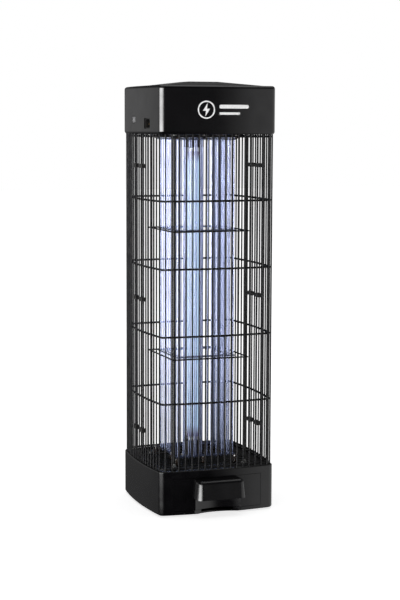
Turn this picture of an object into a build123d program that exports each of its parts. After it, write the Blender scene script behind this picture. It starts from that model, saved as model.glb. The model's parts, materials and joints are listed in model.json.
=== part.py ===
from build123d import *
import os
from math import cos, pi, sin, sqrt

# Electric insect killer: a square tower with a hood, a wire guard round a lamp and a
# high-voltage grid, and a base with a pull-out tray. Millimetres, +Z up, front towards -Y.
# Everything is drawn about the tower's axis and then set back by half the handle's reach,
# so that the origin lies under the middle of the whole object.

# Driving dimensions ------------------------------------------------------------------------

# Plan outline, shared by the hood, the guard and the base: a square with bowed sides
BODY_HALF = 117.0
BODY_BOW = 9.0
CORNER_RADIUS = 12.0
SIDE_RADIUS = (BODY_HALF**2 + BODY_BOW**2) / (2 * BODY_BOW)
SIDE_CENTRE = SIDE_RADIUS - BODY_HALF - BODY_BOW

# Heights
FOOT_HEIGHT = 3.0
PAN_HEIGHT = 8.0
BASE_HEIGHT = 87.0
BAY_HEIGHT = 130.0
BAY_COUNT = 5
HOOD_HEIGHT = 93.0
HOOD_DROP = 4.0
HOOD_FLOOR_HEIGHT = 7.0
CROWN_RISE = 9.0
CROWN_INSET = 8.0
CROWN_TOP_INSET = 95.0
PAN_TOP = FOOT_HEIGHT + PAN_HEIGHT
BASE_TOP = FOOT_HEIGHT + BASE_HEIGHT
HOOD_LOW = BASE_TOP + BAY_COUNT * BAY_HEIGHT - HOOD_DROP
HOOD_SEAM = HOOD_LOW + HOOD_FLOOR_HEIGHT
HOOD_TOP = HOOD_LOW + HOOD_HEIGHT

# Mouldings
WALL = 3.0
FIT_GAP = 0.3
EDGE_RADIUS = 6.0
RIM_RADIUS = 2.5
PAN_EDGE_RADIUS = 4.0
LIP_THICKNESS = 4.0
LIP_INSET = 9.0

# Guard wires
WIRE_DIAMETER = 3.0
WIRE_PITCH = 13.2
WIRES_EACH_SIDE = 8
WIRE_INSET = 4.0
BAR_DIAMETER = 4.0
WELD_BITE = 0.3
BAR_INSET = WIRE_INSET + WIRE_DIAMETER / 2 + BAR_DIAMETER / 2 - WELD_BITE
BAR_END_GAP = 3.5
CLIP_BAYS = (0, 2, 4)
CLIP_HEIGHT = 8.0
CLIP_DEPTH = 7.0
CLIP_BAR_HEIGHT = 3.0
CLIP_BAR_THICKNESS = 1.6
CLIP_MARGIN = 3.0

# Deck
DECK_OPENING_HALF = 95.0
DECK_THICKNESS = 4.0
DECK_TOP = BASE_TOP - LIP_THICKNESS
SLAT_WIDTH = 5.0
SLAT_COUNT = 8
CARRIER_WIDTH = 16.0

# Tie rods and their hoops
TIE_HALF = 73.5
TIE_DIAMETER = 5.0
TIE_HOLE_DIAMETER = 5.4
NUT_WIDTH = 8.0
NUT_HEIGHT = 4.0
HOOP_DIAMETER = 3.0
SUPPORT_HOOP_LEVELS = (300.0, 549.0)

# High-voltage grid
GRID_SETBACK = 10.0
ROD_DIAMETER = 2.4
GRID_HOOP_DIAMETER = 2.5
LIVE_HALF = 58.0
LIVE_RODS_PER_SIDE = 10
ROD_PITCH = 2 * LIVE_HALF / LIVE_RODS_PER_SIDE
RETURN_HALF = LIVE_HALF - ROD_PITCH / 2
ROD_OVERHANG = 3.0
LOWER_INSULATOR_HEIGHT = 14.0
UPPER_INSULATOR_HEIGHT = 8.0
INSULATOR_FOOT = (6.2, 3.0)
INSULATOR_RIB = (5.8, 2.5)
INSULATOR_RIB_START = 5.5
INSULATOR_NECK = 4.2
LOW_HOOP = DECK_TOP + LOWER_INSULATOR_HEIGHT + GRID_HOOP_DIAMETER / 2
HIGH_HOOP = HOOD_LOW - UPPER_INSULATOR_HEIGHT - GRID_HOOP_DIAMETER / 2
GRID_HOOP_LEVELS = (LOW_HOOP, *SUPPORT_HOOP_LEVELS, HIGH_HOOP)

# Lamp: a straight 18 W tube with two-pin caps
LAMP_SETBACK = 24.0
LAMP_LENGTH = 590.0
GLASS_RADIUS = 13.0
GLASS_WALL = 0.9
CAP_RADIUS = 13.7
CAP_LENGTH = 8.0
PIN_RADIUS = 1.2
PIN_LENGTH = 7.0
PIN_HALF_SPACING = 6.35
LOWER_HOLDER_HEIGHT = 34.0
LAMP_LOW = DECK_TOP + LOWER_HOLDER_HEIGHT
LAMP_HIGH = LAMP_LOW + LAMP_LENGTH
UPPER_HOLDER_HEIGHT = HOOD_LOW - LAMP_HIGH
ROTOR_RADIUS = 8.7
ROTOR_THICKNESS = 9.0
HOLDER_WIDTH = 36.0
HOLDER_DEPTH = 24.0
HOLDER_FOOT_WIDTH = 56.0
HOLDER_FOOT_HEIGHT = 4.0
HOLDER_SCREW_X = 23.0

# Tray
TRAY_HALF_WIDTH = 86.0
TRAY_FRONT_Y = -110.0
TRAY_BACK_Y = 104.0
TRAY_FLOOR = PAN_TOP + 1.0
TRAY_DEPTH = 40.0
TRAY_WALL = 2.0
PANEL_HALF_WIDTH = 90.0
PANEL_TOP = 75.0
PANEL_GAP = 0.6
RAIL_WIDTH = 12.0
GUIDE_WIDTH = 3.5
GUIDE_HEIGHT = 8.0

# Pull handle and the finger scoop behind it
HANDLE_REACH = 25.0
HANDLE_HALF_WIDTH = 50.0
HANDLE_LOW = 35.0
HANDLE_HIGH = 72.0
HANDLE_WALL = 3.5
HANDLE_CORNER = 12.0
HANDLE_EDGE = 8.0
HANDLE_DRAFT = 6.0
SCOOP_DEPTH = 12.0
SCOOP_TOP = 67.0
SCOOP_RADIUS = (HANDLE_HALF_WIDTH**2 + SCOOP_DEPTH**2) / (2 * SCOOP_DEPTH)

# Emblem on the hood's front
EMBLEM_LEVEL = 783.0
EMBLEM_REACH = 28.0

# Switch and power inlet, on the hood's left side
SWITCH_Y = 22.0
SWITCH_Z = 764.0
SWITCH_FACE_X = -125.2
BEZEL_SIZE = (21.0, 15.0)
BEZEL_THICKNESS = 1.5
SWITCH_HOLE = (19.0, 13.0)
ROCKER_SIZE = (15.6, 11.0)
ROCKER_THICKNESS = 4.6
ROCKER_TILT = 6.0
SWITCH_BODY_DEPTH = 18.0
INLET_Y = -57.0
INLET_Z = 757.0
INLET_FACE_X = -122.4
INLET_FLANGE = (30.0, 20.0)
INLET_CAVITY = (24.4, 16.4)
INLET_BODY = (26.6, 18.6)
INLET_DEPTH = 22.0
INLET_CAVITY_DEPTH = 16.0
BLADE_LENGTH = 11.5

# Electrical parts in the hood
HOOD_FLOOR_TOP = HOOD_LOW + WALL
BALLAST_SIZE = (180.0, 38.0, 26.0)
BALLAST_Y = -42.0
BOARD_CENTRE = (46.0, 26.0)
BOARD_SIZE = (78.0, 56.0, 1.6)
BOARD_LEVEL = HOOD_FLOOR_TOP + 8
CORE_CENTRE = (-46.0, 26.0)
CORE_SIZE = (54.0, 20.0, 45.0)
TERMINAL_Y = 88.0
TERMINAL_WAYS = 6
TERMINAL_PITCH = 11.0

# Screws and feet
SCREW_RADIUS = 1.5
SCREW_HEAD_RADIUS = 3.0
SCREW_HEAD_HEIGHT = 2.0
SCREW_CROSS = (3.6, 0.8, 2.0)
BOSS_RADIUS = 4.5
BOSS_HALF = 97.0
FOOT_RADIUS = 10.0
FOOT_HALF = 88.0

AXIS_SHIFT = Pos(0, HANDLE_REACH / 2, 0)
BOTTOM = (Align.CENTER, Align.CENTER, Align.MIN)


# Outline helpers ---------------------------------------------------------------------------

def side_offset(along, inset):
    """Distance from the tower's axis to a bowed side, at a place along that side."""
    return sqrt((SIDE_RADIUS - inset) ** 2 - along**2) - SIDE_CENTRE


def corner_tip(inset):
    """Half width of the outline where two bowed sides would meet."""
    radius = SIDE_RADIUS - inset
    return (sqrt(2 * radius**2 - SIDE_CENTRE**2) - SIDE_CENTRE) / 2


def bowed_square(inset):
    """The plan outline, drawn in by an inset, with round corners."""
    tip = corner_tip(inset)
    side = ThreePointArc((-tip, -tip), (0, -side_offset(0, inset)), (tip, -tip))
    sides = [side.rotate(Axis.Z, 90 * turn) for turn in range(4)]
    face = make_face(Curve() + sides)
    return fillet(face.vertices(), max(CORNER_RADIUS - inset, 2.0))


def prism(inset, low, high):
    return Pos(0, 0, low) * extrude(bowed_square(inset), high - low)


def block(x, y, z):
    """A box given by its lowest and highest value along each axis."""
    corner = Pos(x[0], y[0], z[0])
    return corner * Box(x[1] - x[0], y[1] - y[0], z[1] - z[0], align=(Align.MIN,) * 3)


def post(radius, low, high, x=0.0, y=0.0):
    return Pos(x, y, low) * Cylinder(radius, high - low, align=BOTTOM)


def bar_along_y(radius, start, end, x, z):
    return Pos(x, start, z) * Rot(-90, 0, 0) * Cylinder(radius, end - start, align=BOTTOM)


def four_corners(half):
    return [(x, y) for x in (-half, half) for y in (-half, half)]


def four_turns(shape):
    return [Rot(0, 0, 90 * turn) * shape for turn in range(4)]


def low_edges(solid):
    return solid.edges().group_by(Axis.Z)[0]


def high_edges(solid):
    return solid.edges().group_by(Axis.Z)[-1]


def screw(x, y, seat, length, upward=True):
    """A pan-head screw whose head seats at a height and whose shank goes up or down."""
    head = fillet(low_edges(post(SCREW_HEAD_RADIUS, -SCREW_HEAD_HEIGHT, 0)), 0.6)
    body = head + post(SCREW_RADIUS, 0, length)
    cross = Box(*SCREW_CROSS) + Rot(0, 0, 90) * Box(*SCREW_CROSS)
    body -= Pos(0, 0, -SCREW_HEAD_HEIGHT) * cross
    turn = Rot(0, 0, 0) if upward else Rot(180, 0, 0)
    return Pos(x, y, seat) * turn * body


def mitred_hoop(half, diameter, level, setback):
    """A square hoop of four round bars that meet at mitred corners."""
    reach = half + diameter
    bar = Pos(0, -half, 0) * Rot(0, 90, 0) * Cylinder(diameter / 2, 2 * reach)
    quarter = make_face(Polyline((0, 0), (-2 * reach, -2 * reach), (2 * reach, -2 * reach), close=True))
    side = bar & extrude(quarter, diameter, both=True)
    return [Pos(0, setback, level) * piece for piece in four_turns(side)]


# Hood --------------------------------------------------------------------------------------

def hipped_top(inset, level):
    """A shallow roof that rises from near the rim to a small flat, with a short plug below it."""
    rim = Pos(0, 0, level - 1) * bowed_square(CROWN_INSET + inset)
    flat = Pos(0, 0, level + CROWN_RISE) * bowed_square(CROWN_TOP_INSET)
    return loft([rim, flat], ruled=True)


def make_hood_shell():
    outside = prism(0, HOOD_SEAM, HOOD_TOP)
    outside = fillet(high_edges(outside), EDGE_RADIUS)
    outside += hipped_top(0, HOOD_TOP)
    inside = prism(WALL, HOOD_SEAM - 1, HOOD_TOP - WALL)
    inside += hipped_top(WALL, HOOD_TOP - WALL)
    shell = outside - inside
    for x, y in four_corners(BOSS_HALF):
        shell += post(BOSS_RADIUS, HOOD_SEAM, HOOD_TOP - WALL / 2, x, y)
        shell -= post(SCREW_RADIUS, HOOD_SEAM - 1, HOOD_SEAM + 12, x, y)
    pad_y, pad_z = INLET_FLANGE[0] / 2 + 3, INLET_FLANGE[1] / 2 + 2
    pad = block((INLET_FACE_X, -116), (INLET_Y - pad_y, INLET_Y + pad_y),
                (HOOD_SEAM, INLET_Z + pad_z))
    shell += pad & prism(1.0, HOOD_SEAM, HOOD_TOP - WALL)
    shell -= side_pocket(SWITCH_FACE_X, BEZEL_THICKNESS, SWITCH_Y, SWITCH_Z, BEZEL_SIZE, SWITCH_HOLE)
    shell -= side_pocket(INLET_FACE_X, BEZEL_THICKNESS, INLET_Y, INLET_Z, INLET_FLANGE, INLET_BODY)
    return shell


def side_pocket(face_x, depth, y, z, flange, hole):
    """The pocket for a flange in the left side, and the hole for the body behind it."""
    gap = 0.1
    wide, tall = flange[0] / 2 + gap, flange[1] / 2 + gap
    pocket = block((face_x - 12, face_x + depth), (y - wide, y + wide), (z - tall, z + tall))
    wide, tall = hole[0] / 2 + gap, hole[1] / 2 + gap
    return pocket + block((face_x - 12, face_x + 12), (y - wide, y + wide), (z - tall, z + tall))


def make_hood_floor():
    """The hood's lower tray: it rounds the bottom edge and carries all that hangs or stands on it."""
    plate = fillet(low_edges(prism(0, HOOD_LOW, HOOD_SEAM)), EDGE_RADIUS)
    plate -= prism(6.5, HOOD_LOW + WALL, HOOD_SEAM + 1)
    for x, y in four_corners(TIE_HALF):
        plate -= post(TIE_HOLE_DIAMETER / 2, HOOD_LOW - 1, HOOD_SEAM, x, y)
    for x, y in four_corners(BOSS_HALF):
        plate += post(BOSS_RADIUS + 1, HOOD_LOW + 1, HOOD_SEAM, x, y)
        plate -= post(SCREW_RADIUS + 0.1, HOOD_LOW - 1, HOOD_SEAM + 1, x, y)
        plate -= post(SCREW_HEAD_RADIUS + 0.2, HOOD_LOW - 1, HOOD_LOW + SCREW_HEAD_HEIGHT, x, y)
    return plate


def make_hood_screws():
    seat = HOOD_LOW + SCREW_HEAD_HEIGHT
    return [screw(x, y, seat, 14) for x, y in four_corners(BOSS_HALF)]


def make_emblem():
    """A plain ring with a spark in it and two bars, standing a little proud of the hood."""
    ring = Circle(17) - Circle(14.6)
    spark = make_face(Polyline((2, 12), (-7, -2), (-1, -2), (-2, -12), (7, 2), (1, 2), close=True))
    badge = Pos(-EMBLEM_REACH, EMBLEM_LEVEL) * (ring + spark)
    bars = Pos(0, 6) * RectangleRounded(60, 7, 3) + Pos(-9, -7) * RectangleRounded(42, 4.5, 2)
    bars = Pos(EMBLEM_REACH, EMBLEM_LEVEL) * bars
    skin = prism(-0.5, HOOD_SEAM, HOOD_TOP) - prism(0, HOOD_SEAM - 1, HOOD_TOP + 1)
    marks = Pos(0, -100, 0) * extrude(Plane.XZ * (badge + bars), 40)
    return list((marks & skin).solids())


# Switch and inlet --------------------------------------------------------------------------

def make_switch_frame():
    wide, tall = BEZEL_SIZE[0] / 2, BEZEL_SIZE[1] / 2
    bezel = block((SWITCH_FACE_X, SWITCH_FACE_X + BEZEL_THICKNESS), (-wide, wide), (-tall, tall))
    wide, tall = SWITCH_HOLE[0] / 2, SWITCH_HOLE[1] / 2
    collar = block((SWITCH_FACE_X, SWITCH_FACE_X + 6), (-wide, wide), (-tall, tall))
    wide, tall = ROCKER_SIZE[0] / 2 + 0.7, ROCKER_SIZE[1] / 2 + 0.4
    window = block((SWITCH_FACE_X - 1, SWITCH_FACE_X + 7), (-wide, wide), (-tall, tall))
    return Pos(0, SWITCH_Y, SWITCH_Z) * (bezel + collar - window)


def make_switch_body():
    wide, tall = SWITCH_HOLE[0] / 2 - 0.2, SWITCH_HOLE[1] / 2 - 0.2
    start = SWITCH_FACE_X + 6
    case = block((start, start + SWITCH_BODY_DEPTH), (-wide, wide), (-tall, tall))
    for y in (-5, 5):
        end = start + SWITCH_BODY_DEPTH
        case += block((end - 1, end + 7), (y - 2.4, y + 2.4), (-0.4, 0.4))
    return Pos(0, SWITCH_Y, SWITCH_Z) * case


def rocker_pivot_x():
    return SWITCH_FACE_X + 2.2


def make_switch_rocker():
    """A shallow vee that tips about an upright pin through its middle, drawn switched off."""
    half, depth = ROCKER_SIZE[0] / 2, ROCKER_THICKNESS / 2
    outline = Polyline((-depth, -half), (-depth + 0.8, 0), (-depth, half), (depth - 0.6, half),
                       (depth, 0), (depth - 0.6, -half), close=True)
    key = extrude(make_face(outline), ROCKER_SIZE[1] / 2, both=True)
    key = fillet(key.edges().filter_by(Axis.Z), 0.4)
    return Pos(rocker_pivot_x(), SWITCH_Y, SWITCH_Z) * Rot(0, 0, ROCKER_TILT) * key


def inlet_outline(size, chamfered):
    """The plug socket's outline: a rectangle whose two upper corners are cut off."""
    wide, tall = size[0] / 2, size[1] / 2
    corners = [(-wide, -tall), (wide, -tall), (wide, tall - chamfered), (wide - chamfered, tall),
               (-wide + chamfered, tall), (-wide, tall - chamfered)]
    return make_face(Polyline(*corners, close=True))


def along_x(sketch, start, end):
    """A sketch in Y and Z, drawn out along X."""
    return Pos(start, INLET_Y, INLET_Z) * extrude(Plane.YZ * sketch, end - start)


def make_inlet_body():
    flange = along_x(RectangleRounded(*INLET_FLANGE, 3), INLET_FACE_X, INLET_FACE_X + BEZEL_THICKNESS)
    body = along_x(inlet_outline(INLET_BODY, 4.4), INLET_FACE_X, INLET_FACE_X + INLET_DEPTH)
    cavity = along_x(inlet_outline(INLET_CAVITY, 4.0), INLET_FACE_X - 1, INLET_FACE_X + INLET_CAVITY_DEPTH)
    return flange + body - cavity


def make_inlet_pins():
    """Three upright blades: live and neutral outside, earth in the middle and higher."""
    tip = INLET_FACE_X + INLET_CAVITY_DEPTH - BLADE_LENGTH
    end = INLET_FACE_X + INLET_DEPTH + 7
    places = ((-7, -1), (0, 3), (7, -1))
    return [along_x(Pos(y, z) * Rectangle(2, 4), tip, end) for y, z in places]


# Guard -------------------------------------------------------------------------------------

def wire_places():
    return [WIRE_PITCH * step for step in range(-WIRES_EACH_SIDE, WIRES_EACH_SIDE + 1)]


def bar_levels():
    inner = [BASE_TOP + BAY_HEIGHT * bay for bay in range(1, BAY_COUNT)]
    return [BASE_TOP + BAR_END_GAP, *inner, HOOD_LOW - BAR_END_GAP]


def guard_bar():
    """One side's bar: the bowed side and half of the round corner at each end."""
    sides = bowed_square(BAR_INSET).edges()
    side = sides.sort_by(lambda edge: edge.center().Y)[0]
    corners = [edge for edge in sides if edge.length < BODY_HALF / 2 and edge.center().Y < 0]
    left, right = sorted(corners, key=lambda edge: edge.center().X)
    path = Wire([half_nearest(left, side), side, half_nearest(right, side)])
    start = path.location_at(0)
    return sweep(start * Circle(BAR_DIAMETER / 2), path=path)


def half_nearest(arc, side):
    """The half of a corner's arc that meets the side."""
    halves = (arc.trim(0, 0.5), arc.trim(0.5, 1))
    return min(halves, key=lambda half: half.distance_to(side))


def make_guard_panel(quarter_turns):
    wires = [
        post(WIRE_DIAMETER / 2, BASE_TOP, HOOD_LOW + 0.7, x, -side_offset(x, WIRE_INSET))
        for x in wire_places()
    ]
    bar = guard_bar()
    bars = [Pos(0, 0, level) * bar for level in bar_levels()]
    return [Rot(0, 0, 90 * quarter_turns) * piece for piece in wires + bars]


def make_guard_clips():
    """Pairs of clips on neighbouring wires, joined by a strap, at mid-height of three bays."""
    inner, outer = WIRE_PITCH, 2 * WIRE_PITCH
    near, far = inner - CLIP_MARGIN, outer + CLIP_MARGIN
    front = side_offset(0, WIRE_INSET) - CLIP_DEPTH / 2
    grip_half, strap_half = CLIP_HEIGHT / 2, CLIP_BAR_HEIGHT / 2
    grip = block((front, front + CLIP_DEPTH), (near, far), (-grip_half, grip_half))
    for y in (inner, outer):
        grip -= post(WIRE_DIAMETER / 2 + 0.05, -CLIP_HEIGHT, CLIP_HEIGHT, side_offset(y, WIRE_INSET), y)
    strap = block((front, front + CLIP_BAR_THICKNESS), (-near, near), (-strap_half, strap_half))
    pieces = []
    for bay in CLIP_BAYS:
        level = BASE_TOP + (bay + 0.5) * BAY_HEIGHT
        for turn in (0, 180):
            place = Pos(0, 0, level) * Rot(0, 0, turn)
            pieces += [place * grip, place * mirror(grip, Plane.XZ), place * strap]
    return pieces


# Tie rods and the support hoops -----------------------------------------------------------

def make_tie_rods():
    low, high = DECK_TOP - DECK_THICKNESS - NUT_HEIGHT - 3, HOOD_LOW + WALL + NUT_HEIGHT + 3
    return [post(TIE_DIAMETER / 2, low, high, x, y) for x, y in four_corners(TIE_HALF)]


def make_tie_rod_nuts():
    nut = extrude(RegularPolygon(NUT_WIDTH / 2, 6, major_radius=False), NUT_HEIGHT)
    nut -= Cylinder(TIE_DIAMETER / 2, 3 * NUT_HEIGHT)
    levels = (DECK_TOP - DECK_THICKNESS - 1 - NUT_HEIGHT, DECK_TOP, HOOD_LOW - NUT_HEIGHT, HOOD_LOW + WALL)
    return [Pos(x, y, level) * nut for level in levels for x, y in four_corners(TIE_HALF)]


def make_support_hoops():
    half = TIE_HALF + TIE_DIAMETER / 2 + HOOP_DIAMETER / 2 - WELD_BITE
    hoops = [mitred_hoop(half, HOOP_DIAMETER, level, 0) for level in SUPPORT_HOOP_LEVELS]
    return sum(hoops, [])


# High-voltage grid -------------------------------------------------------------------------

def turned(x, y, quarter_turns):
    """A plan position turned about the axis by quarter turns."""
    angle = pi / 2 * quarter_turns
    return x * cos(angle) - y * sin(angle), x * sin(angle) + y * cos(angle)


def grid_rods(half, rods_per_side):
    """One rod at each corner of a square grid and the rest evenly between them."""
    low, high = LOW_HOOP - ROD_OVERHANG, HIGH_HOOP + ROD_OVERHANG
    along = [-half + ROD_PITCH * step for step in range(rods_per_side)]
    places = [turned(x, -half, side) for side in range(4) for x in along]
    return [post(ROD_DIAMETER / 2, low, high, x, y + GRID_SETBACK) for x, y in places]


def make_live_rods():
    return grid_rods(LIVE_HALF, LIVE_RODS_PER_SIDE)


def make_return_rods():
    """The inner grid has one rod fewer on a side, so each faces a gap of the outer grid."""
    return grid_rods(RETURN_HALF, LIVE_RODS_PER_SIDE - 1)


def live_hoop_half():
    return LIVE_HALF + ROD_DIAMETER / 2 + GRID_HOOP_DIAMETER / 2 - WELD_BITE


def return_hoop_half():
    return RETURN_HALF - ROD_DIAMETER / 2 - GRID_HOOP_DIAMETER / 2 + WELD_BITE


def make_grid_hoops(half):
    hoops = [mitred_hoop(half, GRID_HOOP_DIAMETER, level, GRID_SETBACK) for level in GRID_HOOP_LEVELS]
    return sum(hoops, [])


def insulator(height):
    """A ceramic post on a wide foot, with a rib where it has room below the ends of the rods."""
    foot_radius, foot_height = INSULATOR_FOOT
    rib_radius, rib_height = INSULATOR_RIB
    shape = post(INSULATOR_NECK, 0, height) + post(foot_radius, 0, foot_height)
    if INSULATOR_RIB_START + rib_height < height - ROD_OVERHANG:
        shape += post(rib_radius, INSULATOR_RIB_START, INSULATOR_RIB_START + rib_height)
    return shape


def insulator_places():
    """Outside the corner rods of the outer grid, and at the middle of each side of the inner hoop."""
    corners = four_corners(live_hoop_half() + 2)
    middles = [turned(0, -return_hoop_half(), side) for side in range(4)]
    return [(x, y + GRID_SETBACK) for x, y in corners + middles]


def make_lower_insulators():
    shape = insulator(LOWER_INSULATOR_HEIGHT)
    return [Pos(x, y, DECK_TOP) * shape for x, y in insulator_places()]


def make_upper_insulators():
    shape = Rot(180, 0, 0) * insulator(UPPER_INSULATOR_HEIGHT)
    return [Pos(x, y, HOOD_LOW) * shape for x, y in insulator_places()]


# Lamp and lampholders ----------------------------------------------------------------------

def at_lamp(level):
    return Pos(0, LAMP_SETBACK, level)


def both_ends(shape):
    """A shape drawn from the lamp's lower end upwards, and its twin at the upper end."""
    return [at_lamp(LAMP_LOW) * shape, at_lamp(LAMP_HIGH) * Rot(180, 0, 0) * shape]


def make_lamp_glass():
    tube = Cylinder(GLASS_RADIUS, LAMP_LENGTH - 3) - Cylinder(GLASS_RADIUS - GLASS_WALL, LAMP_LENGTH)
    return [at_lamp(LAMP_LOW + LAMP_LENGTH / 2) * tube]


def make_lamp_caps():
    cap = fillet(low_edges(Cylinder(CAP_RADIUS, CAP_LENGTH, align=BOTTOM)), 1.0)
    cap -= Pos(0, 0, 1.5) * Cylinder(GLASS_RADIUS + 0.05, CAP_LENGTH, align=BOTTOM)
    return both_ends(cap)


def make_lamp_pins():
    pin = Pos(PIN_HALF_SPACING, 0, -PIN_LENGTH) * Cylinder(PIN_RADIUS, PIN_LENGTH, align=BOTTOM)
    pin = fillet(low_edges(pin), 0.5)
    return both_ends(pin) + both_ends(Rot(0, 0, 180) * pin)


def lampholder(height):
    """A rotary two-pin lampholder on its foot; the lamp meets it at its full height."""
    top = height - FIT_GAP
    body = extrude(RectangleRounded(HOLDER_WIDTH, HOLDER_DEPTH, 6), top)
    body = fillet(high_edges(body), 1.2)
    body += extrude(RectangleRounded(HOLDER_FOOT_WIDTH, HOLDER_DEPTH, 3), HOLDER_FOOT_HEIGHT)
    body -= post(ROTOR_RADIUS + FIT_GAP, top - ROTOR_THICKNESS - FIT_GAP, 2 * height)
    slot_depth = PIN_LENGTH + 1
    body -= block((-2.2, 2.2), (-HOLDER_DEPTH, 0), (top - slot_depth, height))
    for x in (-HOLDER_SCREW_X, HOLDER_SCREW_X):
        body -= Pos(x, 0, 0) * Cylinder(SCREW_RADIUS + 0.1, 3 * HOLDER_FOOT_HEIGHT)
    return body


def make_rotors():
    """The two turning contacts: discs with a slot that the lamp's pins lie in."""
    rotor = post(ROTOR_RADIUS, -ROTOR_THICKNESS - FIT_GAP, -FIT_GAP)
    slot_half = PIN_RADIUS + 0.1
    rotor -= block((-ROTOR_RADIUS, ROTOR_RADIUS), (-slot_half, slot_half), (-PIN_LENGTH - 0.2, 1))
    return both_ends(rotor)


def make_lampholder_screws():
    lower = [screw(x, LAMP_SETBACK, DECK_TOP + HOLDER_FOOT_HEIGHT, HOLDER_FOOT_HEIGHT + 4, upward=False)
             for x in (-HOLDER_SCREW_X, HOLDER_SCREW_X)]
    upper = [screw(x, LAMP_SETBACK, HOOD_LOW - HOLDER_FOOT_HEIGHT, HOLDER_FOOT_HEIGHT + 2.5)
             for x in (-HOLDER_SCREW_X, HOLDER_SCREW_X)]
    return lower + upper


# Electrical parts in the hood --------------------------------------------------------------

def make_ballast():
    """A folded steel can with a foot at each end."""
    length, width, height = BALLAST_SIZE
    can = Pos(0, BALLAST_Y, HOOD_FLOOR_TOP) * Box(length - 28, width, height, align=BOTTOM)
    can = fillet(can.edges().filter_by(Axis.X).group_by(Axis.Z)[-1], 2)
    return can + Pos(0, BALLAST_Y, HOOD_FLOOR_TOP) * Box(length, width, 1.5, align=BOTTOM)


def make_ballast_screws():
    reach = BALLAST_SIZE[0] / 2 - 7
    return [screw(x, BALLAST_Y, HOOD_FLOOR_TOP + 1.5, 1.4, upward=False) for x in (-reach, reach)]


def make_transformer_core():
    """A laminated E-I core, standing on edge, with two windows for the winding."""
    length, width, height = CORE_SIZE
    core = Box(length, width, height, align=BOTTOM)
    for x in (-13.5, 13.5):
        core -= Pos(x, 0, 9) * Box(9, 2 * width, height - 18, align=BOTTOM)
    return Pos(*CORE_CENTRE, HOOD_FLOOR_TOP) * core


def make_transformer_winding():
    leg_half, window_outer, low = 9.0, 17.7, 9.3
    height = CORE_SIZE[2] - 18.6
    coil = Pos(0, 0, low) * extrude(RectangleRounded(2 * window_outer, CORE_SIZE[1] + 16, 5), height)
    coil -= Box(2 * leg_half + 0.2, CORE_SIZE[1] + 0.2, 200)
    return Pos(*CORE_CENTRE, HOOD_FLOOR_TOP) * coil


def board_corners():
    x_half, y_half = BOARD_SIZE[0] / 2 - 4, BOARD_SIZE[1] / 2 - 4
    return [(BOARD_CENTRE[0] + x, BOARD_CENTRE[1] + y) for x in (-x_half, x_half) for y in (-y_half, y_half)]


def make_circuit_board():
    board = Pos(*BOARD_CENTRE, BOARD_LEVEL) * Box(*BOARD_SIZE, align=BOTTOM)
    for x, y in board_corners():
        board -= post(SCREW_RADIUS + 0.1, BOARD_LEVEL - 1, BOARD_LEVEL + 3, x, y)
    return board


def make_board_standoffs():
    standoffs = [post(3.2, HOOD_FLOOR_TOP, BOARD_LEVEL, x, y) for x, y in board_corners()]
    studs = [post(SCREW_RADIUS, BOARD_LEVEL, BOARD_LEVEL + 4, x, y) for x, y in board_corners()]
    return [foot + stud for foot, stud in zip(standoffs, studs)]


def make_capacitors():
    level = BOARD_LEVEL + BOARD_SIZE[2]
    places = [(BOARD_CENTRE[0] - 20 + 20 * step, BOARD_CENTRE[1] + 10) for step in range(3)]
    return [fillet(high_edges(post(7.5, level, level + 24, x, y)), 1) for x, y in places]


def make_diodes():
    level = BOARD_LEVEL + BOARD_SIZE[2] + 2.2
    start = BOARD_CENTRE[1] - 22
    return [bar_along_y(2.0, start, start + 12, BOARD_CENTRE[0] - 24 + 12 * step, level) for step in range(5)]


def terminal_places():
    return [TERMINAL_PITCH * (step - (TERMINAL_WAYS - 1) / 2) for step in range(TERMINAL_WAYS)]


def make_terminal_block():
    block_length = TERMINAL_WAYS * TERMINAL_PITCH
    body = Pos(0, TERMINAL_Y, HOOD_FLOOR_TOP) * Box(block_length, 17, 14, align=BOTTOM)
    for x in terminal_places():
        body -= post(2.6, HOOD_FLOOR_TOP + 6, HOOD_FLOOR_TOP + 15, x, TERMINAL_Y)
    return body


def make_terminal_screws():
    return [post(2.3, HOOD_FLOOR_TOP + 6, HOOD_FLOOR_TOP + 11, x, TERMINAL_Y) for x in terminal_places()]


def lead(points, bend=8.0):
    """An insulated wire along straight runs and round bends."""
    path = FilletPolyline(*points, radius=bend)
    return sweep(Plane(origin=path @ 0, z_dir=path % 0) * Circle(1.2), path=path)


def make_internal_wires():
    """Leads from the inlet and the switch to the terminals, and on to the ballast and the board."""
    inlet_x = INLET_FACE_X + INLET_DEPTH + 7
    switch_x = SWITCH_FACE_X + 6 + SWITCH_BODY_DEPTH + 7
    block_face = TERMINAL_Y - 8.5
    ways = terminal_places()
    high, low = HOOD_FLOOR_TOP + 48, HOOD_FLOOR_TOP + 8
    wires = [
        lead([(inlet_x, INLET_Y + 7, INLET_Z - 1), (-82, INLET_Y + 7, INLET_Z - 1),
              (-82, INLET_Y + 7, high), (-82, SWITCH_Y - 5, high),
              (-82, SWITCH_Y - 5, SWITCH_Z), (switch_x, SWITCH_Y - 5, SWITCH_Z)], 6),
        lead([(switch_x, SWITCH_Y + 5, SWITCH_Z), (-80, SWITCH_Y + 5, SWITCH_Z), (-80, 62, SWITCH_Z),
              (ways[0], 62, SWITCH_Z), (ways[0], 62, low), (ways[0], block_face, low)], 6),
        lead([(ways[1], block_face, low), (ways[1], 64, low), (ways[1], 64, high + 4), (-4, 64, high + 4),
              (-4, -42, high + 4), (-4, -42, HOOD_FLOOR_TOP + BALLAST_SIZE[2])], 6),
        lead([(ways[4], block_face, low), (ways[4], 66, low), (ways[4], 66, low + 20),
              (ways[4], BOARD_CENTRE[1] - 8, low + 20), (ways[4], BOARD_CENTRE[1] - 8, low + 1.6)], 6),
    ]
    return wires


# Deck --------------------------------------------------------------------------------------

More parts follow.
